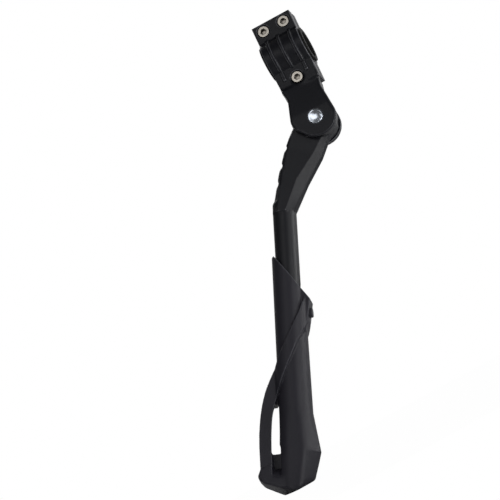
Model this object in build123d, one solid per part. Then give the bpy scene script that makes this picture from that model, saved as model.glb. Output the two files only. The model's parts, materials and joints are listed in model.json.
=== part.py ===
from build123d import *
import os
from math import atan2, cos, degrees, radians, sin

# Clamp-on adjustable bicycle kickstand, millimetres and degrees.
# The origin is the centre of the clamp's bore, X runs along the bore to the rear of the bicycle,
# -Y is outward and Z is up. The clamp is turned about its tube, so that the leg leans outward.
LEAN = 23.0
TWIST = 7.0
PIVOT_AHEAD = 1.3
PIVOT_DROP = 57.6
TUBE_RAKE = 20.4
TUBE_OFFSET = 28.5
BEND_DROP = 68.5
FOLD_ANGLE = 112.0
SOLE_LEVEL = -278.0

# Clearances
RUNNING_FIT = 0.05
SLIDE_FIT = 0.15
SIDE_GAP = 0.1
LOOSE_FIT = 0.3
STOP_GAP = 0.4

# Clamp jaws, their rubber pads and screws
TUBE_RADIUS = 10.0
PAD_THICKNESS = 2.0
JAW_WALL = 4.0
JAW_WIDTH = 30.6
JAW_GAP = 2.0
FLANGE_THICKNESS = 8.0
REAR_FLANGE_THICKNESS = 6.0
FLANGE_TOP = 28.0
FLANGE_BOTTOM = 29.0
PAD_LIP_WIDTH = 1.5
PAD_LIP_HEIGHT = 1.6
PAD_EDGE_GAP = 1.2
RIB_PITCH = 9.0
RIB_WIDTH = 2.2
RIB_HEIGHT = 0.9
RIB_TAIL = 21.0
BOLT_ROW = 22.0
BOLT_SPACING = 16.3
BOLT_RADIUS = 2.5
BOLT_HEAD_RADIUS = 4.25
BOLT_HEAD_HEIGHT = 5.0
BOLT_SOCKET_FLATS = 4.0
BOLT_SOCKET_DEPTH = 2.6
BOLT_TAIL = 1.0
COUNTERBORE_RADIUS = 4.9
COUNTERBORE_DEPTH = 5.2

# Fork of the bracket and the pin
CHEEK_RADIUS = 15.3
FORK_DEPTH = 24.0
CHEEK_BEVEL = 0.9
ARM_INSET = 0.3
WAIST_INSET = 2.0
WAIST_HEIGHT = 22.0
HEEL_REACH = 18.6
HEEL_HEIGHT = 3.5
HEEL_NECK_REACH = 17.2
HEEL_NECK_DROP = 3.0
HEEL_MEETS_ROUND = 44.0
ARM_TOP = 30.4
SLOPE_HEIGHT = 6.0
PIN_RADIUS = 4.0
PIN_HEAD_RADIUS = 5.3
PIN_HEAD_HEIGHT = 2.5
PIN_PROUD = 0.2
PIN_TAIL = 2.6
CLIP_OUTER_RADIUS = 6.4
CLIP_THICKNESS = 1.0
CLIP_GROOVE_DEPTH = 0.8
CLIP_MOUTH = 4.6
WASHER_THICKNESS = 0.6
WASHER_RADIUS = 8.0

# Detent in the bracket
PLUNGER_RADIUS = 3.0
PLUNGER_LENGTH = 6.0
DETENT_SPRING_LENGTH = 6.0
DETENT_WIRE = 0.7
DETENT_TURNS = 4
DETENT_FLAT_DEPTH = 0.7

# Upper leg
KNUCKLE_RADIUS = 14.3
KNUCKLE_THICKNESS = 13.0
ARM_REAR_REACH = 13.0
ARM_FRONT_SWELL = 1.4
ARM_FRONT_WAIST = 0.9
ARM_REAR_WAIST = 9.8
ARM_UPPER_DROP = 6.0
ARM_MIDDLE_DROP = 26.0
ARM_LOWER_DROP = 48.0
ARM_RIDGE = 9.0
ARM_BEVEL = 1.4
BEND_BEVEL = 5.2
ARM_KEEL = 1.0
ARM_SWELL = 1.1
BEND_PROUD = 0.6
SHANK_RADIUS = 8.6
SHANK_END = 205.0
SHANK_CHAMFER = 1.2
NOTCH_FIRST = 27.5
NOTCH_PITCH = 13.8
NOTCH_COUNT = 3
NOTCH_WIDTH = 3.4
NOTCH_DEPTH = 1.6
NOTCH_EDGE_STEP = 1.6
KEYWAY_WIDTH = 4.2
KEYWAY_DEPTH = 3.4
SCALLOP_PITCH = 8.0
SCALLOP_RADIUS = 3.4
SCALLOP_DEPTH = 1.2

# Lower sleeve with its sash, loop and foot, measured down the shank from the pivot
COLLAR_RADIUS = 11.2
SLEEVE_RADIUS = 12.3
COLLAR_TOP = 114.3
COLLAR_TIP = 101.5
COLLAR_SLOPE = 55.0
FLARE_START = 222.0
FLARE_OVERLAP = 20.0
SASH_PROUD = 1.8
LOOP_HALF_DEPTH = 6.0
LOOP_WIDTH = 9.0
LOOP_STANDOFF = 6.1
LOOP_TAIL = 15.0
SASH_TOP = 133.7
SASH_WIDTH = 14.8
SASH_LEAVES = 192.0
WEB_HALF_DEPTH = 3.0
WINDOW_TOP = 213.5
WINDOW_SILL = 16.5
WINDOW_DRAFT = 14.0
FOOT_HALF_DEPTH = 12.6
HEEL_TIP = 17.4
HEEL_TIP_DROP = 252.6
HEEL_BASE = 13.6
HEEL_BASE_DROP = 266.0
FOOT_END = 292.0
FOOT_CORNER = 2.5
FOOT_SWELL = 0.5
TOE_REACH = 29.6
TOE_DROP = 267.0
TOE_LIP = 2.2
TOE_MARGIN = 1.0
ROCKER_DROP = 285.3
ROCKER_SLOPE = 25.2
BORE_END = 232.0
EXTEND_OUT = 25.0
EXTEND_IN = 20.0

# Height button in the collar's boss
BUTTON_DROP = 146.0
BUTTON_RADIUS = 3.5
BUTTON_PROUD = 4.1
BUTTON_LENGTH = 3.8
BUTTON_STEM_RADIUS = 1.8
BUTTON_STEM_TIP = 7.1
BOSS_HALF_DEPTH = 6.5
BOSS_PROUD = 3.6
BOSS_TOP = 136.5
BOSS_BOTTOM = 161.0
BOSS_KNEE = 151.0
BOSS_LIP = 4.0
BOSS_TAPER = 2.2
BOSS_SINK = 0.8
BUTTON_SPRING_LENGTH = 2.2
BUTTON_WIRE = 0.5
BUTTON_TURNS = 2

# Frames: the clamp leans about X, the leg turns about the pin, the shank runs down its own axis
clamp_frame = Location((0, 0, 0), (-LEAN, 0, 0))
leg_frame = clamp_frame * Location((-PIVOT_AHEAD, 0, -PIVOT_DROP), (0, 0, TWIST))
shank_frame = leg_frame * Location((0, 0, 0), (0, TUBE_RAKE, 0)) * Location((-TUBE_OFFSET, 0, 0))
arm_rake = TUBE_RAKE + degrees(atan2(TUBE_OFFSET, BEND_DROP))

# Sizes that follow from the ones above
seat_radius = TUBE_RADIUS + PAD_THICKNESS
jaw_radius = seat_radius + JAW_WALL
half_gap = JAW_GAP / 2
arm_half = JAW_WIDTH / 2 - ARM_INSET
waist_half = JAW_WIDTH / 2 - WAIST_INSET
front_face = half_gap + FLANGE_THICKNESS
rear_face = half_gap + REAR_FLANGE_THICKNESS
half_fork = FORK_DEPTH / 2
slot_half = KNUCKLE_THICKNESS / 2 + WASHER_THICKNESS + SIDE_GAP
slot_radius = KNUCKLE_RADIUS + STOP_GAP
bore_radius = SHANK_RADIUS + SLIDE_FIT
loop_inner = SLEEVE_RADIUS + LOOP_STANDOFF
loop_outer = loop_inner + LOOP_WIDTH
loop_fall = TOE_DROP - LOOP_TAIL - SASH_LEAVES
window_bottom = TOE_DROP - WINDOW_SILL
button_face = SLEEVE_RADIUS + BUTTON_PROUD
boss_reach = SLEEVE_RADIUS + BOSS_PROUD
bolt_spots = [(-BOLT_SPACING / 2, BOLT_ROW), (BOLT_SPACING / 2, BOLT_ROW), (0, -BOLT_ROW)]


def plate(points, thickness):
    """A polygon in the XZ plane, extruded to both sides of it along Y."""
    face = make_face(Polyline(*points, close=True))
    return extrude(Plane.XZ * face, amount=thickness / 2, both=True)


def bar(points, length):
    """A polygon in the YZ plane, extruded to both sides of it along X."""
    face = make_face(Polyline(*points, close=True))
    return extrude(Plane.YZ * face, amount=length / 2, both=True)


def rod_y(radius, start, end, x=0, z=0):
    """A cylinder along Y between two places."""
    return Pos(x, (start + end) / 2, z) * Rot(90, 0, 0) * Cylinder(radius, abs(end - start))


def rod_x(radius, start, end, z=0):
    """A cylinder along X between two places."""
    return Pos((start + end) / 2, 0, z) * Rot(0, 90, 0) * Cylinder(radius, abs(end - start))


def coil(radius, wire, turns, length):
    """A compression spring along Z, from 0 to its length, wire included."""
    rise = length - wire
    path = Helix(rise / turns, rise, radius)
    section = Plane(path @ 0, z_dir=path % 0) * Circle(wire / 2)
    return Pos(0, 0, wire / 2) * sweep(section, path)


def half_jaw(side, face, radius):
    """One half of the clamp: two flanges and the half-round over the tube."""
    far = FLANGE_TOP + FLANGE_BOTTOM
    low, high = sorted((side * half_gap, side * face))
    flange = Pos(0, (low + high) / 2, (FLANGE_TOP - FLANGE_BOTTOM) / 2)
    body = flange * Box(JAW_WIDTH, high - low, far)
    keep = Pos(0, side * (half_gap + far / 2), 0) * Box(JAW_WIDTH, far, far)
    body += rod_x(radius, -JAW_WIDTH / 2, JAW_WIDTH / 2) & keep
    return body - rod_x(seat_radius, -JAW_WIDTH, JAW_WIDTH)


def make_ribs():
    """Three raised ribs over the half-round; the outer two run on past the lower screw."""
    crest = jaw_radius + RIB_HEIGHT
    ribs = []
    for step in (-1, 0, 1):
        x = step * RIB_PITCH
        ring = Pos(x, 0, 0) * rod_x(crest, -RIB_WIDTH / 2, RIB_WIDTH / 2)
        outside = Pos(x, -front_face - crest, 0) * Box(RIB_WIDTH, 2 * crest, 2 * crest)
        rib = ring & outside
        if step:
            tail = RIB_TAIL / 2
            rib += Pos(x, -front_face, -tail) * Box(RIB_WIDTH, 2 * RIB_HEIGHT, RIB_TAIL)
        ribs.append(rib - rod_x(seat_radius + JAW_WALL / 2, -JAW_WIDTH, JAW_WIDTH))
    return ribs


def make_fork():
    """The bracket's arm and its two cheeks, slotted for the leg's knuckle."""
    meets = radians(HEEL_MEETS_ROUND)
    outline = [
        (-arm_half, ARM_TOP),
        (-waist_half, WAIST_HEIGHT),
        (-HEEL_REACH, HEEL_HEIGHT),
        (-HEEL_NECK_REACH, -HEEL_NECK_DROP),
        (-CHEEK_RADIUS * cos(meets), -CHEEK_RADIUS * sin(meets)),
        (0, 0),
        (CHEEK_RADIUS, 0),
        (waist_half, WAIST_HEIGHT),
        (arm_half, ARM_TOP),
    ]
    body = plate(outline, FORK_DEPTH) + rod_y(CHEEK_RADIUS, -half_fork, half_fork)
    rim = body.edges().filter_by(lambda e: abs(abs(e.center().Y) - half_fork) < 0.01)
    body = chamfer(rim, CHEEK_BEVEL)
    rear_top = PIVOT_DROP - FLANGE_BOTTOM - STOP_GAP
    profile = [
        (-front_face, ARM_TOP),
        (-half_fork, SLOPE_HEIGHT),
        (-half_fork, -2 * CHEEK_RADIUS),
        (half_fork, -2 * CHEEK_RADIUS),
        (half_fork, SLOPE_HEIGHT),
        (rear_face, rear_top),
        (-half_gap, rear_top),
        (-half_gap, ARM_TOP),
    ]
    return body & bar(profile, 4 * arm_half)


def slot_cut():
    """The space between the cheeks in which the knuckle and the arm swing."""
    rest = radians(arm_rake)
    folded = radians(arm_rake - FOLD_ANGLE)
    reach = 4 * CHEEK_RADIUS
    left = slot_radius
    right = ARM_REAR_REACH + STOP_GAP
    rest_along = Vector(-sin(rest), -cos(rest))
    rest_across = Vector(cos(rest), -sin(rest))
    fold_along = Vector(-sin(folded), -cos(folded))
    fold_across = Vector(cos(folded), -sin(folded))
    start = rest_across * -left
    end = fold_across * right
    points = [
        start,
        start + rest_along * reach,
        Vector(-reach, -reach),
        Vector(reach, -reach),
        end + fold_along * reach,
        end,
    ]
    swing = plate([(p.X, p.Y) for p in points], 2 * slot_half)
    return swing + rod_y(slot_radius, -slot_half, slot_half)


def make_bracket():
    """The die casting: front jaw and ribs in the clamp's frame, arm and fork in the leg's."""
    jaw = half_jaw(-1, front_face, jaw_radius)
    for rib in make_ribs():
        jaw += rib
    for x, z in bolt_spots:
        jaw -= rod_y(COUNTERBORE_RADIUS, -2 * jaw_radius, -front_face + COUNTERBORE_DEPTH, x, z)
        jaw -= rod_y(BOLT_RADIUS + SIDE_GAP, -front_face, half_gap, x, z)
    fork = make_fork() - slot_cut()
    fork -= rod_y(PIN_RADIUS + RUNNING_FIT, -half_fork, half_fork)
    fork -= rod_y(PIN_HEAD_RADIUS + LOOSE_FIT, -half_fork - 1, -half_fork + PIN_HEAD_HEIGHT)
    bore_top = KNUCKLE_RADIUS + STOP_GAP + PLUNGER_LENGTH + DETENT_SPRING_LENGTH
    fork -= Pos(0, 0, bore_top / 2) * Cylinder(PLUNGER_RADIUS + RUNNING_FIT, bore_top)
    return clamp_frame * jaw + leg_frame * fork


def make_rear_jaw():
    """The rear half of the clamp, tapped for the three screws."""
    jaw = half_jaw(1, rear_face, jaw_radius)
    for x, z in bolt_spots:
        jaw -= rod_y(BOLT_RADIUS + RUNNING_FIT, half_gap, rear_face, x, z)
    return clamp_frame * jaw


def make_pad(side):
    """A rubber half lining with a lip at each end that hooks over the jaw's ends."""
    inner = TUBE_RADIUS
    outer = seat_radius - RUNNING_FIT
    length = JAW_WIDTH + 2 * PAD_LIP_WIDTH
    pad = rod_x(outer, -length / 2, length / 2)
    for end in (-1, 1):
        middle = end * (JAW_WIDTH + PAD_LIP_WIDTH) / 2
        half = PAD_LIP_WIDTH / 2
        pad += rod_x(seat_radius + PAD_LIP_HEIGHT, middle - half, middle + half)
    pad -= rod_x(inner, -length, length)
    reach = 2 * jaw_radius
    keep = Pos(0, side * (PAD_EDGE_GAP + reach / 2), 0) * Box(2 * length, reach, 2 * reach)
    return clamp_frame * (pad & keep)


def make_bolts():
    """Three socket-head screws, seated in the front jaw and run through the rear one."""
    seat = -front_face + COUNTERBORE_DEPTH
    top = seat - BOLT_HEAD_HEIGHT
    socket = extrude(RegularPolygon(BOLT_SOCKET_FLATS / 2, 6, major_radius=False), BOLT_SOCKET_DEPTH)
    bolts = []
    for x, z in bolt_spots:
        head = rod_y(BOLT_HEAD_RADIUS, top, seat, x, z)
        shank = rod_y(BOLT_RADIUS, seat, rear_face + BOLT_TAIL, x, z)
        bolt = head + shank - Pos(x, top, z) * Rot(-90, 0, 0) * socket
        bolts.append(clamp_frame * bolt)
    return Compound(children=bolts)


def make_pin():
    """The pivot pin: flush head in the front cheek, grooved tail behind the rear cheek."""
    face = -half_fork - PIN_PROUD
    seat = -half_fork + PIN_HEAD_HEIGHT
    head = rod_y(PIN_HEAD_RADIUS, face, seat)
    head = chamfer(head.edges().sort_by(Axis.Y)[0], PIN_PROUD)
    pin = head + rod_y(PIN_RADIUS, seat, half_fork + PIN_TAIL)
    groove = rod_y(2 * PIN_RADIUS, half_fork, half_fork + CLIP_THICKNESS + SIDE_GAP)
    groove -= rod_y(PIN_RADIUS - CLIP_GROOVE_DEPTH, half_fork, half_fork + PIN_TAIL)
    return leg_frame * (pin - groove)


def make_clip():
    """The retaining ring, open at the bottom, in the pin's groove."""
    bore = PIN_RADIUS - CLIP_GROOVE_DEPTH + RUNNING_FIT
    start = half_fork + SIDE_GAP / 2
    ring = rod_y(CLIP_OUTER_RADIUS, start, start + CLIP_THICKNESS)
    ring -= rod_y(bore, half_fork, half_fork + PIN_TAIL)
    mouth = Pos(0, half_fork, -CLIP_OUTER_RADIUS) * Box(CLIP_MOUTH, FORK_DEPTH, 2 * CLIP_OUTER_RADIUS)
    return leg_frame * (ring - mouth)


def make_washer(side):
    """A nylon washer between the knuckle and one cheek."""
    inner = KNUCKLE_THICKNESS / 2 + SIDE_GAP / 2
    start, end = sorted((side * inner, side * (inner + WASHER_THICKNESS)))
    washer = rod_y(WASHER_RADIUS, start, end) - rod_y(PIN_RADIUS + SIDE_GAP, start, end)
    return leg_frame * washer


def make_plunger():
    """The detent plunger, round-nosed, standing on the knuckle's crest."""
    tip = KNUCKLE_RADIUS + STOP_GAP
    body = Pos(0, 0, tip + PLUNGER_LENGTH / 2) * Cylinder(PLUNGER_RADIUS, PLUNGER_LENGTH)
    body = fillet(body.edges().sort_by(Axis.Z)[0], PLUNGER_RADIUS / 2)
    return leg_frame * body


def make_detent_spring():
    """The coil behind the plunger, in the blind end of its bore."""
    start = KNUCKLE_RADIUS + STOP_GAP + PLUNGER_LENGTH
    radius = PLUNGER_RADIUS - DETENT_WIRE / 2 - SIDE_GAP
    spring = coil(radius, DETENT_WIRE, DETENT_TURNS, DETENT_SPRING_LENGTH)
    return leg_frame * Pos(0, 0, start) * spring


def leg_section(left, right, crest, half, shoulder, bevel, frame):
    """The leg's faceted section: flat faces, a wide right bevel to a keel, a small left bevel."""
    points = [
        (left + bevel, -half),
        (crest, -half),
        (right - ARM_KEEL, -shoulder),
        (right, 0),
        (right - ARM_KEEL, shoulder),
        (crest, half),
        (left + bevel, half),
        (left, half - bevel),
        (left, -half + bevel),
    ]
    return frame * make_face(Polyline(*points, close=True))


def make_upper_leg():
    """The forging: knuckle, faceted arm that tapers into the round shank, and the keyway."""
    half = KNUCKLE_THICKNESS / 2
    turn = Location((0, 0, 0), (0, arm_rake, 0))
    shank = Location((0, 0, 0), (0, TUBE_RAKE, 0)) * Location((-TUBE_OFFSET, 0, 0))
    swell = half + ARM_SWELL
    proud = SHANK_RADIUS + BEND_PROUD
    bend = shank * Pos(0, 0, -BEND_DROP)
    front = KNUCKLE_RADIUS
    waist = KNUCKLE_RADIUS - ARM_FRONT_WAIST
    rear = ARM_REAR_REACH
    upper = turn * Pos(0, 0, -ARM_UPPER_DROP)
    middle = turn * Pos(0, 0, -ARM_MIDDLE_DROP)
    lower = turn * Pos(0, 0, -ARM_LOWER_DROP)
    sections = [
        leg_section(-front, rear, ARM_RIDGE, half, half / 2, ARM_BEVEL, upper),
        leg_section(-front - ARM_FRONT_SWELL, rear, ARM_RIDGE * 2 / 3, half, half / 2, ARM_BEVEL, middle),
        leg_section(-waist, ARM_REAR_WAIST, ARM_RIDGE / 8, swell, half / 2, 2 * ARM_BEVEL, lower),
        leg_section(-SHANK_RADIUS, SHANK_RADIUS, SHANK_RADIUS / 4, proud, SHANK_RADIUS / 2, BEND_BEVEL, bend),
    ]
    arm = loft(sections, ruled=True)
    leg = rod_y(KNUCKLE_RADIUS, -half, half) + arm
    shank_length = SHANK_END - BEND_DROP + SHANK_RADIUS
    round_bar = Pos(0, 0, -SHANK_END + shank_length / 2) * Cylinder(SHANK_RADIUS, shank_length)
    round_bar = chamfer(round_bar.edges().sort_by(Axis.Z)[0], SHANK_CHAMFER)
    round_bar -= keyway_cut()
    leg += shank * round_bar
    leg -= rod_y(PIN_RADIUS + RUNNING_FIT, -half, half)
    for flat in (0, -FOLD_ANGLE):
        face = Pos(0, 0, 2 * KNUCKLE_RADIUS - DETENT_FLAT_DEPTH)
        leg -= Rot(0, -flat, 0) * face * Box(2 * PLUNGER_RADIUS, 2 * half, 2 * KNUCKLE_RADIUS)
    for step in range(NOTCH_COUNT):
        drop = NOTCH_FIRST + step * NOTCH_PITCH
        edge = step * NOTCH_EDGE_STEP - KNUCKLE_RADIUS - ARM_FRONT_SWELL
        notch = Box(2 * NOTCH_DEPTH, 4 * half, NOTCH_WIDTH)
        leg -= turn * Pos(edge, 0, -drop) * notch
    return leg_frame * leg


def keyway_cut():
    """The keyway down the shank's rear side, with a row of scallops for the height stops."""
    first = BUTTON_DROP - EXTEND_IN
    last = BUTTON_DROP + EXTEND_OUT
    floor = SHANK_RADIUS - KEYWAY_DEPTH
    depth = 2 * KEYWAY_DEPTH
    cut = Pos(floor + depth / 2, 0, -(first + last) / 2) * Box(depth, KEYWAY_WIDTH, last - first)
    for drop in (first, last):
        cut += rod_x(KEYWAY_WIDTH / 2, floor, floor + depth, -drop)
    count = int((last - first) / SCALLOP_PITCH)
    for step in range(count + 1):
        drop = first + step * SCALLOP_PITCH
        cut += rod_x(SCALLOP_RADIUS, SHANK_RADIUS - SCALLOP_DEPTH, floor + depth, -drop)
    return cut


def loop_inside():
    """The band's lower edge, from the collar's rear across the front and down inside the loop."""
    side = SLEEVE_RADIUS
    return Spline(
        (button_face, -SASH_TOP - SASH_WIDTH),
        (side / 2, -SASH_TOP - SASH_WIDTH - 21.6),
        (-side / 3, -SASH_LEAVES),
        (-side - LOOP_STANDOFF / 3, -SASH_LEAVES - loop_fall * 22.6 / 60),
        (-side - LOOP_STANDOFF * 0.87, -SASH_LEAVES - loop_fall * 43 / 60),
        (-side - LOOP_STANDOFF, -SASH_LEAVES - loop_fall),
    )


def sash_outline():
    """The band's edge lines: from the collar's rear top, across the front, to the toe."""
    side = SLEEVE_RADIUS
    outer = loop_outer
    upper = Spline(
        (side, -SASH_TOP),
        (side * 0.45, -SASH_TOP - 19.2),
        (-side * 0.77, -SASH_LEAVES + 10.5),
        (LOOP_WIDTH * 0.77 - outer, -SASH_LEAVES - loop_fall * 11.6 / 60),
        (LOOP_WIDTH * 0.12 - outer, -SASH_LEAVES - loop_fall * 38.3 / 60),
        (-outer, -SASH_LEAVES - loop_fall * 58 / 60),
    )
    lower = loop_inside()
    tail = Polyline(upper @ 1, (-outer, -TOE_DROP), (LOOP_WIDTH - outer, -TOE_DROP), lower @ 1)
    return make_face([upper, lower, Line(upper @ 0, lower @ 0), tail])


def window_cut():
    """The opening behind the loop, drafted so that it widens to the back of the loop."""
    inside = loop_inside()
    inner = loop_inner
    far = (inside @ 0).X
    rest = Polyline(inside @ 1, (-inner, -TOE_DROP), (far, -TOE_DROP), inside @ 0)
    face = make_face([inside, rest])
    tall = window_bottom - WINDOW_TOP
    band = Pos(0, 0, -WINDOW_TOP - tall / 2) * Box(4 * inner, 4 * inner, tall)
    cut = extrude(Plane.XZ * face, amount=4 * LOOP_HALF_DEPTH, both=True) & band
    hinge = Pos(-inner, -LOOP_HALF_DEPTH, 0)
    return hinge * Rot(0, 0, WINDOW_DRAFT) * Pos(inner, LOOP_HALF_DEPTH, 0) * cut


def make_foot():
    """The foot: the round sleeve flares into a keeled block, with a raised toe under the loop."""
    flank = FOOT_HALF_DEPTH

    def block(heel, back, drop):
        points = [
            (heel, 0),
            (heel * 0.4, -flank),
            (-back / 2, -flank),
            (-back, -flank * 0.6),
            (-back, flank * 0.6),
            (-back / 2, flank),
            (heel * 0.4, flank),
        ]
        flat = make_face(Polyline(*points, close=True))
        return Pos(0, 0, -drop) * fillet(flat.vertices(), FOOT_CORNER)

    sections = [
        Pos(0, 0, -FLARE_START) * make_face(CenterArc((0, 0), SLEEVE_RADIUS, 0, 360)),
        block(HEEL_TIP, SLEEVE_RADIUS + FOOT_SWELL, HEEL_TIP_DROP),
        block(HEEL_BASE, SLEEVE_RADIUS + FOOT_SWELL, HEEL_BASE_DROP),
        block(HEEL_BASE / 2, SLEEVE_RADIUS, FOOT_END),
    ]
    foot = loft(sections, ruled=True)
    toe = [
        (0, -HEEL_TIP_DROP),
        (0, -FOOT_END),
        (-loop_inner, -FOOT_END),
        (-loop_outer, -TOE_DROP - 2 * TOE_LIP),
        (-TOE_REACH, -TOE_DROP - TOE_LIP),
        (-TOE_REACH, -TOE_DROP),
        (-loop_outer, -TOE_DROP + 2 * TOE_LIP),
        (-loop_inner, -TOE_DROP + 3 * TOE_LIP),
        (-SLEEVE_RADIUS, -TOE_DROP + 5 * TOE_LIP),
    ]
    plan = [
        (0, -flank * 0.8),
        (-SLEEVE_RADIUS, -flank * 0.8),
        (-TOE_REACH - TOE_MARGIN, -LOOP_HALF_DEPTH),
    ]
    plan += [(x, -y) for x, y in reversed(plan)]
    column = extrude(make_face(Polyline(*plan, close=True)), -FOOT_END - FLARE_OVERLAP / 2)
    ground = Pos(0, 0, -ROCKER_DROP) * Rot(0, ROCKER_SLOPE, 0) * Pos(0, 0, -FOOT_END / 2)
    return foot + (plate(toe, 4 * flank) & column) - ground * Box(FOOT_END, FOOT_END, FOOT_END)


def make_sleeve():
    """The nylon moulding: tapered collar, sash and loop, webs beside the window, and the foot."""
    top = COLLAR_TIP
    wall = [
        (0, -top),
        (COLLAR_RADIUS, -top),
        (SLEEVE_RADIUS, -FLARE_START),
        (SLEEVE_RADIUS, -FLARE_START - FLARE_OVERLAP),
        (0, -FLARE_START - FLARE_OVERLAP),
    ]
    body = revolve(Plane.XZ * make_face(Polyline(*wall, close=True)), Axis.Z)
    reach = SLEEVE_RADIUS + SASH_PROUD
    band = extrude(Plane.XZ * sash_outline(), amount=reach, both=True)
    wrap_length = WINDOW_TOP - COLLAR_TIP
    tall = Pos(0, 0, -COLLAR_TIP - wrap_length / 2) * Cylinder(reach, wrap_length)
    slab = Pos(-loop_outer - reach / 2, 0, -FLARE_START) * Box(2 * loop_outer, 2 * LOOP_HALF_DEPTH, FOOT_END)
    body += (band & (tall + slab)) - window_cut()
    middle = loop_outer - LOOP_WIDTH * 3 / 4
    web_top = WINDOW_TOP - LOOP_WIDTH
    web_start = SASH_LEAVES - 2 * SLEEVE_RADIUS
    web = [(-loop_inner, -WINDOW_TOP), (-loop_inner, -web_top), (0, -web_start), (0, -WINDOW_TOP)]
    body += plate(web, 2 * WEB_HALF_DEPTH)
    low_web = [(-middle, -window_bottom), (0, -window_bottom), (0, -TOE_DROP), (-middle, -TOE_DROP)]
    body += plate(low_web, 2 * WEB_HALF_DEPTH)
    boss = [
        (0, -COLLAR_TOP),
        (boss_reach, -BOSS_TOP + BOSS_LIP),
        (boss_reach, -BOSS_TOP),
        (boss_reach - BOSS_TAPER, -BOSS_KNEE),
        (SLEEVE_RADIUS - BOSS_SINK, -BOSS_BOTTOM),
        (0, -BOSS_BOTTOM),
    ]
    body += plate(boss, 2 * BOSS_HALF_DEPTH)
    body += make_foot()
    body -= Pos(0, 0, -BORE_END / 2) * Cylinder(bore_radius, BORE_END)
    slope = Pos(0, 0, -COLLAR_TOP) * Rot(0, COLLAR_SLOPE, 0)
    body -= slope * Pos(0, 0, FOOT_END / 2) * Box(FOOT_END, FOOT_END, FOOT_END)
    floor = button_face - BUTTON_LENGTH - BUTTON_SPRING_LENGTH
    body -= rod_x(BUTTON_RADIUS + SIDE_GAP, floor, 2 * button_face, -BUTTON_DROP)
    body -= rod_x(BUTTON_STEM_RADIUS + SIDE_GAP, 0, button_face, -BUTTON_DROP)
    placed = shank_frame * body
    return placed - Pos(0, 0, SOLE_LEVEL - FOOT_END / 2) * Box(3 * FOOT_END, 3 * FOOT_END, FOOT_END)


def make_button():
    """The height button: cap in the boss, stem through the wall into the keyway."""
    inner = button_face - BUTTON_LENGTH
    cap = rod_x(BUTTON_RADIUS, inner, button_face, -BUTTON_DROP)
    stem = rod_x(BUTTON_STEM_RADIUS, BUTTON_STEM_TIP, inner, -BUTTON_DROP)
    return shank_frame * (cap + stem)


def make_button_spring():
    """The coil under the button's cap, round its stem."""
    start = button_face - BUTTON_LENGTH - BUTTON_SPRING_LENGTH
    radius = BUTTON_RADIUS - BUTTON_WIRE / 2 - SIDE_GAP
    spring = coil(radius, BUTTON_WIRE, BUTTON_TURNS, BUTTON_SPRING_LENGTH)
    return shank_frame * Pos(start, 0, -BUTTON_DROP) * Rot(0, 90, 0) * spring


parts = {
    "clamp_bracket": make_bracket(),
    "rear_jaw": make_rear_jaw(),
    "front_pad": make_pad(-1),
    "rear_pad": make_pad(1),
    "clamp_bolts": make_bolts(),
    "pivot_pin": make_pin(),
    "pin_clip": make_clip(),
    "thrust_washer_front": make_washer(-1),
    "thrust_washer_rear": make_washer(1),
    "detent_plunger": make_plunger(),
    "detent_spring": make_detent_spring(),
    "upper_leg": make_upper_leg(),
    "lower_sleeve": make_sleeve(),
    "height_button": make_button(),
    "button_spring": make_button_spring(),
}

os.makedirs("parts", exist_ok=True)
for name, shape in parts.items():
    export_step(shape, f"parts/{name}.step")
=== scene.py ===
import json
import math

import bpy
from mathutils import Matrix, Vector

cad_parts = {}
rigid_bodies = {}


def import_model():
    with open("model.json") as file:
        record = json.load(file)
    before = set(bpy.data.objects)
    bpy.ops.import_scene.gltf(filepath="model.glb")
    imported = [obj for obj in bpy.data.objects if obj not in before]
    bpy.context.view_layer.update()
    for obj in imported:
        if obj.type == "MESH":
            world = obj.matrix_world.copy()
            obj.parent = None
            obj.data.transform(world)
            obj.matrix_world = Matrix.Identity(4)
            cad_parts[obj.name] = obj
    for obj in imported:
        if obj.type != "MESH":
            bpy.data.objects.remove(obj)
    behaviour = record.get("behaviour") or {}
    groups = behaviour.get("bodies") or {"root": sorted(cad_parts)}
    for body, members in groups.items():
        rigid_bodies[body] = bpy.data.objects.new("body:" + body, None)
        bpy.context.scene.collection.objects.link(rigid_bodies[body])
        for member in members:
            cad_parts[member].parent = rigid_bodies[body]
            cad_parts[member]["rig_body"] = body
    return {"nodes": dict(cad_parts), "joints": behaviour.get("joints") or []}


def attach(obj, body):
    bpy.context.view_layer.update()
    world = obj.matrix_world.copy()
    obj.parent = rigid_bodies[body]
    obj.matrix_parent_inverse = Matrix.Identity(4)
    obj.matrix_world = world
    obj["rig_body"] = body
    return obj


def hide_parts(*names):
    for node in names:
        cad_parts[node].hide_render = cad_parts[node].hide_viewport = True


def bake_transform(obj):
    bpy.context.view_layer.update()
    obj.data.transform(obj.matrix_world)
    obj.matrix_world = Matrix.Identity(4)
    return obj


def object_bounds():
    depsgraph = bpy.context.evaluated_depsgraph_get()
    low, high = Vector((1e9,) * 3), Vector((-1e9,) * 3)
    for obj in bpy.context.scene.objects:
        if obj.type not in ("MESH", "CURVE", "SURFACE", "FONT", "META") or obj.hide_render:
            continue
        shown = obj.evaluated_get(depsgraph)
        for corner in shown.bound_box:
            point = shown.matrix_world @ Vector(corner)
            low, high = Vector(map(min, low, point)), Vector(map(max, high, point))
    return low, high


# The imported kickstand is the frame: every node is already in its place, in metres.
# Its box at rest is kept, and it sets the camera's depth and the floor's height.
MM = 0.001
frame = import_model()
cad_low, cad_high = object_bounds()
bpy.ops.object.select_all(action="DESELECT")
joints = {joint["name"]: joint for joint in frame["joints"]}


# Clamp halves: die-cast aluminium with a satin black powder coat. The front half carries the
# ribs, the arm and the pivot fork in one casting; the rear half is a plain cap behind the tube.
# A casting has no sharp edge, so each half is skinned afresh and eased until its edges are round.
MERGE_GAP = 0.002 * MM
EASE_STEP = 0.5
CASTING_VOXEL = 0.42 * MM
CASTING_EASE = 3


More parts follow.
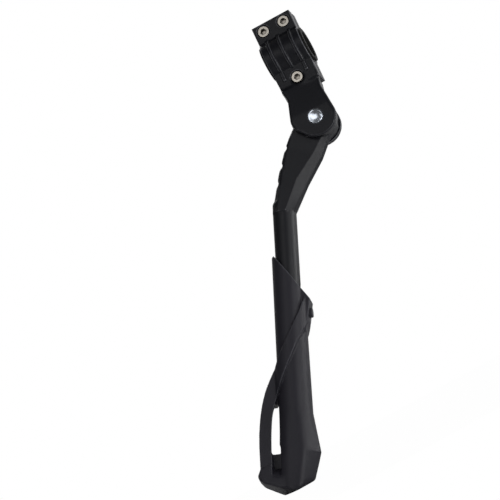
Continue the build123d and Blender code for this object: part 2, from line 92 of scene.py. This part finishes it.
def merged_copy(node, name, flat_angle=None):
    """A copy of a CAD node, left active: loose triangles merged, and flat ones joined if asked."""
    piece = bpy.data.objects.new(name, frame["nodes"][node].data.copy())
    bpy.context.scene.collection.objects.link(piece)
    bpy.ops.object.select_all(action="DESELECT")
    bpy.context.view_layer.objects.active = piece
    piece.select_set(True)
    bpy.ops.object.mode_set(mode="EDIT")
    bpy.ops.mesh.select_all(action="SELECT")
    bpy.ops.mesh.remove_doubles(threshold=MERGE_GAP)
    if flat_angle:
        bpy.ops.mesh.dissolve_limited(angle_limit=flat_angle)
    bpy.ops.object.mode_set(mode="OBJECT")
    return piece


def ease(piece, name, rounds, region=""):
    """Smooths the active piece for some rounds, all over or by a region's vertex group."""
    soften = piece.modifiers.new(name, "SMOOTH")
    soften.vertex_group = region
    soften.factor = EASE_STEP
    soften.iterations = rounds
    bpy.ops.object.modifier_apply(modifier=soften.name)


def skin_over(piece, voxel, rounds):
    """Skins the active piece with small even faces, lays them on its form and eases its edges."""
    form = bpy.data.objects.new("form", piece.data.copy())
    bpy.context.scene.collection.objects.link(form)
    skin = piece.modifiers.new("skin", "REMESH")
    skin.mode = "VOXEL"
    skin.voxel_size = voxel
    bpy.ops.object.modifier_apply(modifier=skin.name)
    cling = piece.modifiers.new("cling", "SHRINKWRAP")
    cling.target = form
    bpy.ops.object.modifier_apply(modifier=cling.name)
    bpy.data.objects.remove(form)
    ease(piece, "soften", rounds)
    bpy.ops.object.shade_smooth()


def ease_region(piece, name, share_at, rounds):
    """Eases one region of the active skin further, by each point's share, clipped to 0 and 1."""
    group = piece.vertex_groups.new(name=name)
    for point in piece.data.vertices:
        share = min(max(share_at(point.co), 0.0), 1.0)
        if share > 0:
            group.add([point.index], share, "REPLACE")
    ease(piece, name, rounds, group.name)
    piece.vertex_groups.clear()


def rise(value, start, end):
    """A share that goes straight from 0 at start to 1 at end."""
    return (value - start) / (end - start)


# The arm's outer face flows from the lower screw down to the pin, with no crease between. Each
# pair of values is where the flow starts and where it is full.
ARM_SKIN = (5 * MM, 6 * MM)
ARM_ROUND_PIN = (7 * MM, 11 * MM)
ARM_BOTTOM = (-4 * MM, 0)
ARM_TOP = (37 * MM, 34 * MM)
ARM_ROUNDS = 80
pivot = Vector(joints["leg_fold"]["pos_m"])
pin_axis = Vector(joints["leg_fold"]["axis"])
arm_up = Vector(joints["plunger_retract"]["axis"])


def arm_face(spot):
    """The arm's outer face, clear of the pin's rim."""
    from_pin = spot - pivot
    out = from_pin.dot(pin_axis)
    height = from_pin.dot(arm_up)
    clear = (from_pin - pin_axis * out).length
    outer = min(rise(out, *ARM_SKIN), rise(clear, *ARM_ROUND_PIN))
    return min(outer, rise(height, *ARM_BOTTOM), rise(height, *ARM_TOP))


front_half = merged_copy("clamp_bracket", "front_jaw_and_fork")
skin_over(front_half, CASTING_VOXEL, CASTING_EASE)
ease_region(front_half, "arm_flow", arm_face, ARM_ROUNDS)
rear_half = merged_copy("rear_jaw", "rear_jaw_cap")
skin_over(rear_half, CASTING_VOXEL, CASTING_EASE)

# Powder coat on cast aluminium: a near-black film with a shallow orange peel of 0.9 mm. It gives
# broad dull highlights that break up a little. Its convex edges are painted pale grey: a painted highlight
# that also stands for rubbed paint.
CAST_BLACK = "#0d0e13"
CAST_BLACK_HIGH = "#14151b"
CAST_SHINE = 0.25
CAST_ROUGHNESS = {"To Min": 0.36, "To Max": 0.46}
CAST_CLOUD = 14 * MM
CAST_EDGE_HIGHLIGHT_AND_RUB = 0.9
ORANGE_PEEL = 0.9 * MM
PEEL_HEIGHT = 0.06 * MM
EDGE_HIGHLIGHT_AND_RUB_GREY = "#77787e"
EDGE_SHARPNESS = {"From Min": 0.515, "From Max": 0.57}

# The colour sockets of a Mix node share their names with its other sockets, so they go by number.
MIX_SHARE = 0
MIX_FIRST = 6
MIX_SECOND = 7
MIX_RESULT = 2


def linear(code):
    """Turns an sRGB hex value into linear red, green, blue and alpha."""
    channels = [int(code[i:i + 2], 16) / 255 for i in (1, 3, 5)]
    curve = [c / 12.92 if c <= 0.04045 else ((c + 0.055) / 1.055) ** 2.4 for c in channels]
    return (*curve, 1.0)


def add_node(tree, kind, settings=None, links=None):
    """Adds a node, sets its sockets and properties, and links sockets from other nodes."""
    node = tree.nodes.new(kind)
    for name, value in (settings or {}).items():
        if isinstance(name, int) or name in node.inputs:
            node.inputs[name].default_value = value
        else:
            setattr(node, name, value)
    for name, source in (links or {}).items():
        tree.links.new(source, node.inputs[name])
    return node


def new_material(name):
    """A fresh material with its tree, its Principled shader and its Object coordinates."""
    material = bpy.data.materials.new(name)
    material.use_nodes = True
    tree = material.node_tree
    shader = tree.nodes["Principled BSDF"]
    place = add_node(tree, "ShaderNodeTexCoord").outputs["Object"]
    return material, tree, shader, place


def paint_edge_highlight_and_rub(tree, shader, colour, most):
    """Paints a shader, and paints its convex edges pale grey up to a share: a painted highlight that also
    stands for rubbed paint.
    """
    edge = add_node(tree, "ShaderNodeNewGeometry").outputs["Pointiness"]
    highlight_and_rub_share = add_node(tree, "ShaderNodeMapRange", {**EDGE_SHARPNESS, "To Max": most}, {"Value": edge})
    highlit_and_rubbed = add_node(tree, "ShaderNodeMix", {"data_type": "RGBA", MIX_SECOND: linear(EDGE_HIGHLIGHT_AND_RUB_GREY)},
                      {MIX_SHARE: highlight_and_rub_share.outputs["Result"], MIX_FIRST: colour})
    tree.links.new(highlit_and_rubbed.outputs[MIX_RESULT], shader.inputs["Base Color"])


def dress(piece, node, material):
    """Puts a finished piece in its node's place: material and body, and hides the node it replaces."""
    piece.data.materials.clear()
    piece.data.materials.append(material)
    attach(piece, frame["nodes"][node]["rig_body"])
    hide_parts(node)


cast_black, tree, shader, place = new_material("powder_coated_casting")
shader.inputs["Specular IOR Level"].default_value = CAST_SHINE
cloud = add_node(tree, "ShaderNodeTexNoise", {"Scale": 1 / CAST_CLOUD, "Detail": 4.0}, {"Vector": place})
tint = add_node(tree, "ShaderNodeMix",
                {"data_type": "RGBA", MIX_FIRST: linear(CAST_BLACK), MIX_SECOND: linear(CAST_BLACK_HIGH)},
                {MIX_SHARE: cloud.outputs["Fac"]})
# Painted highlight: pale grey on the convex edges, standing for both an edge highlight and rubbed paint.
paint_edge_highlight_and_rub(tree, shader, tint.outputs[MIX_RESULT], CAST_EDGE_HIGHLIGHT_AND_RUB)
gloss = add_node(tree, "ShaderNodeMapRange", CAST_ROUGHNESS, {"Value": cloud.outputs["Fac"]})
tree.links.new(gloss.outputs["Result"], shader.inputs["Roughness"])
peel = add_node(tree, "ShaderNodeTexNoise",
                {"Scale": 1 / ORANGE_PEEL, "Detail": 3.0, "Roughness": 0.55}, {"Vector": place})
bump = add_node(tree, "ShaderNodeBump", {"Strength": 0.25, "Distance": PEEL_HEIGHT},
                {"Height": peel.outputs["Fac"]})
tree.links.new(bump.outputs["Normal"], shader.inputs["Normal"])
dress(front_half, "clamp_bracket", cast_black)
dress(rear_half, "rear_jaw", cast_black)


# Linings: two half shells of moulded black rubber that grip the tube and hook over the jaw ends.
# They keep their CAD shape. The rubber is dead matt, and a faint bloom clouds its surface.
RUBBER_BLACK = "#161616"
RUBBER_SHINE = 0.3
RUBBER_BLOOM = 2.5 * MM
RUBBER_ROUGHNESS = {"To Min": 0.66, "To Max": 0.88}


def coat(node, material):
    """Gives a material to a CAD node that keeps its own shape."""
    coats = frame["nodes"][node].data.materials
    coats.clear()
    coats.append(material)


rubber, tree, shader, place = new_material("moulded_rubber")
shader.inputs["Base Color"].default_value = linear(RUBBER_BLACK)
shader.inputs["Specular IOR Level"].default_value = RUBBER_SHINE
bloom = add_node(tree, "ShaderNodeTexNoise", {"Scale": 1 / RUBBER_BLOOM, "Detail": 5.0}, {"Vector": place})
dull = add_node(tree, "ShaderNodeMapRange", RUBBER_ROUGHNESS, {"Value": bloom.outputs["Fac"]})
tree.links.new(dull.outputs["Result"], shader.inputs["Roughness"])
coat("front_pad", rubber)
coat("rear_pad", rubber)


# Clamp screws: M5 socket heads in stainless steel, turned and then tumbled, so that their rims are
# round. They are skinned finer than the castings, so that their sockets stay crisp.
SCREW_VOXEL = 0.2 * MM
SCREW_EASE = 4
screws = merged_copy("clamp_bolts", "socket_screws")
skin_over(screws, SCREW_VOXEL, SCREW_EASE)

# Tumbled stainless steel: bright and slightly warm, with soft scratches of 0.15 mm that are drawn
# at 0.4 mm, because finer ones would not show. Ambient occlusion paints dark brown shade into the depth of
# the sockets.
STAINLESS = "#a29d95"
STAINLESS_ROUGHNESS = {"To Min": 0.22, "To Max": 0.3}
STAINLESS_SCRATCH = 0.4 * MM
SOCKET_PAINTED_SHADE = "#3a332b"
SOCKET_REACH = 2.5 * MM
SOCKET_OPENNESS = {"From Min": 0.35, "From Max": 0.85}
stainless, tree, shader, place = new_material("tumbled_stainless")
shader.inputs["Metallic"].default_value = 1.0
scratch = add_node(tree, "ShaderNodeTexNoise", {"Scale": 1 / STAINLESS_SCRATCH, "Detail": 4.0},
                   {"Vector": place})
polish = add_node(tree, "ShaderNodeMapRange", STAINLESS_ROUGHNESS, {"Value": scratch.outputs["Fac"]})
tree.links.new(polish.outputs["Result"], shader.inputs["Roughness"])
# Painted shade: occlusion darkens the sockets' depth towards a dark brown.
opening = add_node(tree, "ShaderNodeAmbientOcclusion", {"Distance": SOCKET_REACH, "only_local": True})
socket_open_share = add_node(tree, "ShaderNodeMapRange", SOCKET_OPENNESS, {"Value": opening.outputs["AO"]})
shaded_sockets = add_node(tree, "ShaderNodeMix",
                  {"data_type": "RGBA", MIX_FIRST: linear(SOCKET_PAINTED_SHADE), MIX_SECOND: linear(STAINLESS)},
                  {MIX_SHARE: socket_open_share.outputs["Result"]})
tree.links.new(shaded_sockets.outputs[MIX_RESULT], shader.inputs["Base Color"])
dress(screws, "clamp_bolts", stainless)


# Pivot pin: a turned steel pin with bluish zinc plating, pushed through the fork from the front.
# Its head sits flush in the front cheek, and only its rims are bevelled.
PIN_RIM = 0.15 * MM
RIM_ANGLE = math.radians(50)
RIM_STEPS = 3
FLAT_ANGLE = math.radians(1)
SMOOTH_ANGLE = math.radians(35)


def bevelled_copy(node, name, width):
    """A CAD node's shape with its sharp rims bevelled round."""
    piece = merged_copy(node, name, FLAT_ANGLE)
    rim = piece.modifiers.new("rim", "BEVEL")
    rim.width = width
    rim.segments = RIM_STEPS
    rim.limit_method = "ANGLE"
    rim.angle_limit = RIM_ANGLE
    rim.use_clamp_overlap = True
    bpy.ops.object.modifier_apply(modifier=rim.name)
    bpy.ops.object.shade_smooth_by_angle(angle=SMOOTH_ANGLE)
    return piece


pin = bevelled_copy("pivot_pin", "turned_pin", PIN_RIM)

# Bright zinc on turned steel: the lathe leaves a head that is dished by a few degrees, so it throws
# light into bright sectors. Its rings are drawn 3 mm apart, because finer ones would not show. A
# Wave texture of scale 1 repeats after a tenth of pi.
ZINC = "#d3dae4"
ZINC_ROUGHNESS = 0.24
LATHE_RINGS = math.pi * MM
RING_HEIGHT = 0.01 * MM
DISH_SLOPE = 0.045
WAVE_LENGTH_AT_ONE = math.pi / 10
pin_turn = pin_axis.to_track_quat("Z", "Y").to_euler()
zinc, tree, shader, place = new_material("zinc_plated_steel")
shader.inputs["Base Color"].default_value = linear(ZINC)
shader.inputs["Metallic"].default_value = 1.0
shader.inputs["Roughness"].default_value = ZINC_ROUGHNESS
axis = add_node(tree, "ShaderNodeMapping",
                {"vector_type": "TEXTURE", "Location": pivot, "Rotation": pin_turn}, {"Vector": place})
rings = add_node(tree, "ShaderNodeTexWave",
                 {"wave_type": "RINGS", "rings_direction": "Z", "Scale": WAVE_LENGTH_AT_ONE / LATHE_RINGS,
                  "Distortion": 0.4}, {"Vector": axis.outputs["Vector"]})
bump = add_node(tree, "ShaderNodeBump", {"Strength": 0.1, "Distance": RING_HEIGHT},
                {"Height": rings.outputs["Fac"]})
across = add_node(tree, "ShaderNodeVectorMath", {"operation": "MULTIPLY", 1: (1, 1, 0)},
                  {0: axis.outputs["Vector"]})
radius = add_node(tree, "ShaderNodeVectorMath", {"operation": "LENGTH"}, {0: across.outputs["Vector"]})
dish = add_node(tree, "ShaderNodeBump", {"Strength": 1.0, "Distance": DISH_SLOPE},
                {"Height": radius.outputs["Value"], "Normal": bump.outputs["Normal"]})
tree.links.new(dish.outputs["Normal"], shader.inputs["Normal"])
dress(pin, "pivot_pin", zinc)


# Detent plunger: a turned steel plug that slides in the bracket's bore above the knuckle. It is
# plated with the pin and keeps its CAD shape.
coat("detent_plunger", zinc)


# Retaining ring and coil springs: drawn spring steel. The ring snaps on to the pin's rear end, one
# coil presses on the plunger and one returns the height button.
SPRING_GREY = "#8d8d90"
SPRING_ROUGHNESS = {"To Min": 0.28, "To Max": 0.45}
SPRING_STREAK = 0.6 * MM

# Spring steel: grey and half bright, under a light film of oil that gathers in streaks.
spring_steel, tree, shader, place = new_material("drawn_spring_steel")
shader.inputs["Base Color"].default_value = linear(SPRING_GREY)
shader.inputs["Metallic"].default_value = 1.0
drawn = add_node(tree, "ShaderNodeTexNoise", {"Scale": 1 / SPRING_STREAK, "Detail": 3.0}, {"Vector": place})
oil = add_node(tree, "ShaderNodeMapRange", SPRING_ROUGHNESS, {"Value": drawn.outputs["Fac"]})
tree.links.new(oil.outputs["Result"], shader.inputs["Roughness"])
coat("pin_clip", spring_steel)


def coil_spring(node, name):
    """A coil of spring steel, copied from its CAD node and fixed where it stands."""
    coil = bpy.data.objects.new(name, frame["nodes"][node].data.copy())
    bpy.context.scene.collection.objects.link(coil)
    coil.data.materials.clear()
    coil.data.materials.append(spring_steel)
    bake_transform(coil)
    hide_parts(node)


coil_spring("detent_spring", "detent_coil")
coil_spring("button_spring", "button_coil")


# Thrust washers: thin rings stamped from natural nylon, one on each side of the knuckle between the
# fork's cheeks. They are milky and waxy, and keep their CAD shape.
NATURAL_NYLON = "#dcd8ca"
WASHER_ROUGHNESS = {"To Min": 0.4, "To Max": 0.55}
WASHER_CLOUD = 3 * MM
washer_nylon, tree, shader, place = new_material("natural_nylon")
shader.inputs["Base Color"].default_value = linear(NATURAL_NYLON)
milky = add_node(tree, "ShaderNodeTexNoise", {"Scale": 1 / WASHER_CLOUD, "Detail": 2.0}, {"Vector": place})
wax = add_node(tree, "ShaderNodeMapRange", WASHER_ROUGHNESS, {"Value": milky.outputs["Fac"]})
tree.links.new(wax.outputs["Result"], shader.inputs["Roughness"])
coat("thrust_washer_front", washer_nylon)
coat("thrust_washer_rear", washer_nylon)


# Upper leg: one aluminium forging, painted satin black: knuckle, faceted arm and round shank.
# The dies leave soft ridges between the facets, and shoes wear the notched edge that they push.
# Each pair of values is where the wear starts and where it is full.
LEG_VOXEL = 0.5 * MM
LEG_EASE = 3
EDGE_AHEAD = -19.3 * MM
EDGE_SLOPE = 0.287
EDGE_DEPTH = (4.5 * MM, 2.5 * MM)
EDGE_TOP = (12 * MM, 16 * MM)
EDGE_BOTTOM = (72 * MM, 68 * MM)
EDGE_ROUNDS = 70
down = Vector(joints["leg_extend"]["axis"])
rearward = -Vector(joints["button_press"]["axis"])


def notched_edge(spot):
    """The leg's front edge with its notches."""
    drop = (spot - pivot).dot(down)
    reach = (spot - pivot).dot(rearward)
    behind_edge = reach - (EDGE_AHEAD - EDGE_SLOPE * drop)
    return min(rise(behind_edge, *EDGE_DEPTH), rise(drop, *EDGE_TOP), rise(drop, *EDGE_BOTTOM))


leg = merged_copy("upper_leg", "forged_leg")
skin_over(leg, LEG_VOXEL, LEG_EASE)
ease_region(leg, "edge_wear", notched_edge, EDGE_ROUNDS)

# Satin paint on a forging: near black, with the grain of the shot-blasted metal showing through as
# a soft 1.4 mm texture. It is a little rougher than the powder coat, and less pale grey is painted on its
# edges as highlight and rub.
LEG_BLACK = "#0e0f14"
LEG_BLACK_HIGH = "#15161c"
LEG_SHINE = 0.3
LEG_ROUGHNESS = {"To Min": 0.38, "To Max": 0.5}
LEG_CLOUD = 22 * MM
LEG_EDGE_HIGHLIGHT_AND_RUB = 0.5
FORGING_GRAIN = 1.4 * MM
GRAIN_HEIGHT = 0.06 * MM
forged_black, tree, shader, place = new_material("satin_paint_on_forging")
shader.inputs["Specular IOR Level"].default_value = LEG_SHINE
wave = add_node(tree, "ShaderNodeTexNoise", {"Scale": 1 / LEG_CLOUD, "Detail": 2.0}, {"Vector": place})
tint = add_node(tree, "ShaderNodeMix",
                {"data_type": "RGBA", MIX_FIRST: linear(LEG_BLACK), MIX_SECOND: linear(LEG_BLACK_HIGH)},
                {MIX_SHARE: wave.outputs["Fac"]})
# Painted highlight: pale grey on the convex edges, standing for both an edge highlight and rubbed paint.
paint_edge_highlight_and_rub(tree, shader, tint.outputs[MIX_RESULT], LEG_EDGE_HIGHLIGHT_AND_RUB)
grain = add_node(tree, "ShaderNodeTexNoise", {"Scale": 1 / FORGING_GRAIN, "Detail": 4.0}, {"Vector": place})
satin = add_node(tree, "ShaderNodeMapRange", LEG_ROUGHNESS, {"Value": grain.outputs["Fac"]})
tree.links.new(satin.outputs["Result"], shader.inputs["Roughness"])
bump = add_node(tree, "ShaderNodeBump", {"Strength": 0.15, "Distance": GRAIN_HEIGHT},
                {"Height": grain.outputs["Fac"]})
tree.links.new(bump.outputs["Normal"], shader.inputs["Normal"])
dress(leg, "upper_leg", forged_black)


# Foot sleeve: glass-filled nylon, moulded in one shot with its sash, loop and foot, and pushed on to
# the shank. Two pockets keep the toe's wall thin beside its web, the column under the loop is round,
# and the ground wears the sole's edge. Each pair of values is where a region starts and is full.
SLEEVE_VOXEL = 0.62 * MM
SLEEVE_EASE = 3
AXIS_AHEAD = 28.5 * MM
COLUMN_DROP = (230 * MM, 250 * MM)
COLUMN_FRONT = (-12.5 * MM, -10.5 * MM)
COLUMN_HEEL = (11 * MM, 6 * MM)
COLUMN_ROUNDS = 145
SOLE_DROP = (262 * MM, 270 * MM)
SOLE_ROUNDS = 45
POCKET_FRONT = -18.3 * MM
POCKET_BACK = -11.8 * MM
POCKET_WEB = 1.2 * MM
POCKET_MOUTH = 15 * MM
POCKET_SILL = 246 * MM
POCKET_FLOOR_AT_WEB = 262 * MM
POCKET_FLOOR_AT_MOUTH = 277 * MM


def toe_pocket(side):
    """A wedge to hollow one side of the toe, from the window's sill down to a sloping floor."""
    bpy.ops.object.select_all(action="DESELECT")
    bpy.ops.mesh.primitive_cube_add(size=1)
    wedge = bpy.context.object
    outward = down.cross(rearward) * side
    for point in wedge.data.vertices:
        at_mouth = point.co.y > 0
        floor_drop = POCKET_FLOOR_AT_MOUTH if at_mouth else POCKET_FLOOR_AT_WEB
        reach = POCKET_FRONT if point.co.x < 0 else POCKET_BACK
        depth = POCKET_MOUTH if at_mouth else POCKET_WEB
        drop = floor_drop if point.co.z < 0 else POCKET_SILL
        point.co = pivot + rearward * (reach - AXIS_AHEAD) + outward * depth + down * drop
    bpy.ops.object.mode_set(mode="EDIT")
    bpy.ops.mesh.select_all(action="SELECT")
    bpy.ops.mesh.normals_make_consistent(inside=False)
    bpy.ops.object.mode_set(mode="OBJECT")
    return wedge


def foot_column(spot):
    """The foot's round column, without the loop and toe ahead of it and the crisp heel behind."""
    drop = (spot - pivot).dot(down)
    reach = (spot - pivot).dot(rearward) + AXIS_AHEAD
    return min(rise(drop, *COLUMN_DROP), rise(reach, *COLUMN_FRONT), rise(reach, *COLUMN_HEEL))


def sole_edge(spot):
    """The worn edge all round the sole."""
    return rise((spot - pivot).dot(down), *SOLE_DROP)


pockets = [toe_pocket(side) for side in (-1, 1)]
sleeve = merged_copy("lower_sleeve", "foot_sleeve")
for pocket in pockets:
    cut = sleeve.modifiers.new("pocket", "BOOLEAN")
    cut.operation = "DIFFERENCE"
    cut.solver = "EXACT"
    cut.object = pocket
    bpy.ops.object.modifier_apply(modifier=cut.name)
    bpy.data.objects.remove(pocket)
skin_over(sleeve, SLEEVE_VOXEL, SLEEVE_EASE)
ease_region(sleeve, "column_round", foot_column, COLUMN_ROUNDS)
ease_region(sleeve, "sole_round", sole_edge, SOLE_ROUNDS)

# Moulded nylon from a spark-eroded tool: evenly fine grained, drawn at 0.7 mm because the real grain
# would not show. It is matt, and a touch purple against the painted metal.
NYLON_BLACK = "#1f1e25"
NYLON_BLACK_HIGH = "#27262e"
NYLON_SHINE = 0.3
NYLON_ROUGHNESS = {"To Min": 0.4, "To Max": 0.56}
NYLON_FLOW = 30 * MM
NYLON_EDGE_HIGHLIGHT_AND_RUB = 0.3
SPARK_GRAIN = 0.7 * MM
SPARK_HEIGHT = 0.06 * MM
nylon, tree, shader, place = new_material("spark_textured_nylon")
shader.inputs["Specular IOR Level"].default_value = NYLON_SHINE
flow = add_node(tree, "ShaderNodeTexNoise", {"Scale": 1 / NYLON_FLOW, "Detail": 3.0}, {"Vector": place})
tint = add_node(tree, "ShaderNodeMix",
                {"data_type": "RGBA", MIX_FIRST: linear(NYLON_BLACK), MIX_SECOND: linear(NYLON_BLACK_HIGH)},
                {MIX_SHARE: flow.outputs["Fac"]})
# Painted highlight: a little pale grey on the convex edges, standing for both an edge highlight and rubbed
# paint.
paint_edge_highlight_and_rub(tree, shader, tint.outputs[MIX_RESULT], NYLON_EDGE_HIGHLIGHT_AND_RUB)
spark = add_node(tree, "ShaderNodeTexNoise",
                 {"Scale": 1 / SPARK_GRAIN, "Detail": 5.0, "Roughness": 0.65}, {"Vector": place})
matt = add_node(tree, "ShaderNodeMapRange", NYLON_ROUGHNESS, {"Value": spark.outputs["Fac"]})
tree.links.new(matt.outputs["Result"], shader.inputs["Roughness"])
bump = add_node(tree, "ShaderNodeBump", {"Strength": 0.3, "Distance": SPARK_HEIGHT},
                {"Height": spark.outputs["Fac"]})
tree.links.new(bump.outputs["Normal"], shader.inputs["Normal"])
dress(sleeve, "lower_sleeve", nylon)


# Height button: a small cap of the same nylon, moulded with soft rims. It sits in the boss on the
# collar's rear side, over its return spring.
BUTTON_RIM = 0.4 * MM
button = bevelled_copy("height_button", "height_button_cap", BUTTON_RIM)
dress(button, "height_button", nylon)


# Studio: the stand is down on a pale floor, and the camera looks along the bicycle's side with a
# long lens. It is rolled, because the photograph shows the leg almost upright in its frame.
VIEW_TURN = math.radians(8.0)
ROLL = math.radians(28.5)
MM_PER_PIXEL = 0.72
FRAME_PIXELS = 500
BORE_PIXEL = (288.8, 53.6)
CAMERA_AWAY = 8.0
CAMERA_RANGE = 60.0
SENSOR_MM = 36.0
level = Vector((math.cos(VIEW_TURN), math.sin(VIEW_TURN), 0))
upright = Vector((0, 0, 1))
away = Vector((-math.sin(VIEW_TURN), math.cos(VIEW_TURN), 0))
right = level * math.cos(ROLL) - upright * math.sin(ROLL)
above = level * math.sin(ROLL) + upright * math.cos(ROLL)
pixel = MM_PER_PIXEL * MM
half = FRAME_PIXELS / 2
mid_depth = away.dot((cad_low + cad_high) / 2)
bore_offset = right * (half - BORE_PIXEL[0]) + above * (BORE_PIXEL[1] - half)
target = bore_offset * pixel + away * mid_depth
lens = bpy.data.cameras.new("camera")
lens.sensor_width = SENSOR_MM
lens.lens = SENSOR_MM * CAMERA_AWAY / (FRAME_PIXELS * pixel)
lens.clip_end = CAMERA_RANGE
camera = bpy.data.objects.new("camera", lens)
bpy.context.scene.collection.objects.link(camera)
camera.matrix_world = Matrix((right, above, -away)).transposed().to_4x4()
camera.location = target - away * CAMERA_AWAY
bpy.context.scene.camera = camera


# Floor: a round of pale seamless paper under the sole. For the camera it is nearly all its own
# white, and the small share that takes light keeps the stand's soft shadow.
FLOOR_RADIUS = 0.8
FLOOR_CORNERS = 96
PAPER_WHITE = "#f4f4f4"
OWN_WHITE = 0.985
bpy.ops.object.select_all(action="DESELECT")
bpy.ops.mesh.primitive_circle_add(vertices=FLOOR_CORNERS, radius=FLOOR_RADIUS, fill_type="NGON",
                                  location=(target.x, target.y, cad_low.z))
floor = bpy.context.object
floor.name = "floor"
paper = bpy.data.materials.new("seamless_paper")
paper.use_nodes = True
tree = paper.node_tree
tree.nodes.clear()
lit = add_node(tree, "ShaderNodeBsdfDiffuse", {"Color": linear(PAPER_WHITE)})
glow = add_node(tree, "ShaderNodeEmission", {"Strength": 1.0})
path = add_node(tree, "ShaderNodeLightPath")
own = add_node(tree, "ShaderNodeMath", {"operation": "MULTIPLY", 1: OWN_WHITE},
               {0: path.outputs["Is Camera Ray"]})
mix = add_node(tree, "ShaderNodeMixShader",
               links={0: own.outputs["Value"], 1: lit.outputs["BSDF"], 2: glow.outputs["Emission"]})
add_node(tree, "ShaderNodeOutputMaterial", links={"Surface": mix.outputs["Shader"]})
floor.data.materials.append(paper)


# Sky of the studio: a white backdrop behind the stand that wraps round to its right, and a dim room
# on the other side. The camera and clear things see only white; reflections see the backdrop fade
# into the room, and soft light has a smaller share of the same.
BACKDROP_SIDE = away * 0.6 + right * 0.8
BACKDROP_FADE = {"From Min": -0.2, "From Max": 0.8, "To Min": 0.1, "To Max": 1.0}
SOFT_LIGHT = 0.4
world = bpy.data.worlds.new("studio")
bpy.context.scene.world = world
world.use_nodes = True
tree = world.node_tree
tree.nodes.clear()
path = add_node(tree, "ShaderNodeLightPath")
sight = add_node(tree, "ShaderNodeTexCoord").outputs["Generated"]
facing = add_node(tree, "ShaderNodeVectorMath",
                  {"operation": "DOT_PRODUCT", 1: BACKDROP_SIDE.normalized()}, {0: sight})
fade = add_node(tree, "ShaderNodeMapRange", BACKDROP_FADE, {"Value": facing.outputs["Value"]})
share = add_node(tree, "ShaderNodeMath", {"operation": "MAXIMUM", 1: SOFT_LIGHT},
                 {0: path.outputs["Is Glossy Ray"]})
room = add_node(tree, "ShaderNodeMath", {"operation": "MULTIPLY"},
                {0: fade.outputs["Result"], 1: share.outputs["Value"]})
seen_white = add_node(tree, "ShaderNodeMath", {"operation": "MAXIMUM"},
                      {0: path.outputs["Is Camera Ray"], 1: path.outputs["Is Transmission Ray"]})
strength = add_node(tree, "ShaderNodeMath", {"operation": "MAXIMUM"},
                    {0: seen_white.outputs["Value"], 1: room.outputs["Value"]})
sky = add_node(tree, "ShaderNodeBackground", {"Color": linear("#ffffff")},
               {"Strength": strength.outputs["Value"]})
add_node(tree, "ShaderNodeOutputWorld", links={"Surface": sky.outputs["Background"]})


# Lamps: soft boxes that look at the middle of the stand, placed and sized in metres. The right one
# lights the edges and bevels, the key the round sleeve, the front one is where the arm and the leg
# mirror the camera, and the left and rear ones lift the shaded sides.
ARM_MIRROR = Vector((0.02, -0.69, 0.72))


def soft_box(name, offset, size, watts):
    """A rectangular lamp at an offset from the middle of the stand."""
    data = bpy.data.lights.new(name, "AREA")
    data.shape = "RECTANGLE"
    data.size, data.size_y = size
    data.energy = watts
    lamp = bpy.data.objects.new(name, data)
    bpy.context.scene.collection.objects.link(lamp)
    lamp.location = target + offset
    lamp.rotation_euler = (-offset).to_track_quat("-Z", "Y").to_euler()


soft_box("right_box", offset=right * 0.95, size=(0.5, 0.9), watts=14.0)
soft_box("key_box", offset=right * 0.65 + above * 0.35 - away * 0.9, size=(0.6, 0.6), watts=5.4)
soft_box("front_box", offset=ARM_MIRROR * 1.1, size=(0.55, 0.4), watts=1.2)
soft_box("left_box", offset=-right * 0.9 - away * 0.9, size=(0.4, 0.9), watts=2.5)
soft_box("rear_box", offset=away * 0.9 + upright * 0.7, size=(0.6, 0.4), watts=5.0)
bpy.context.scene.view_settings.view_transform = "Standard"
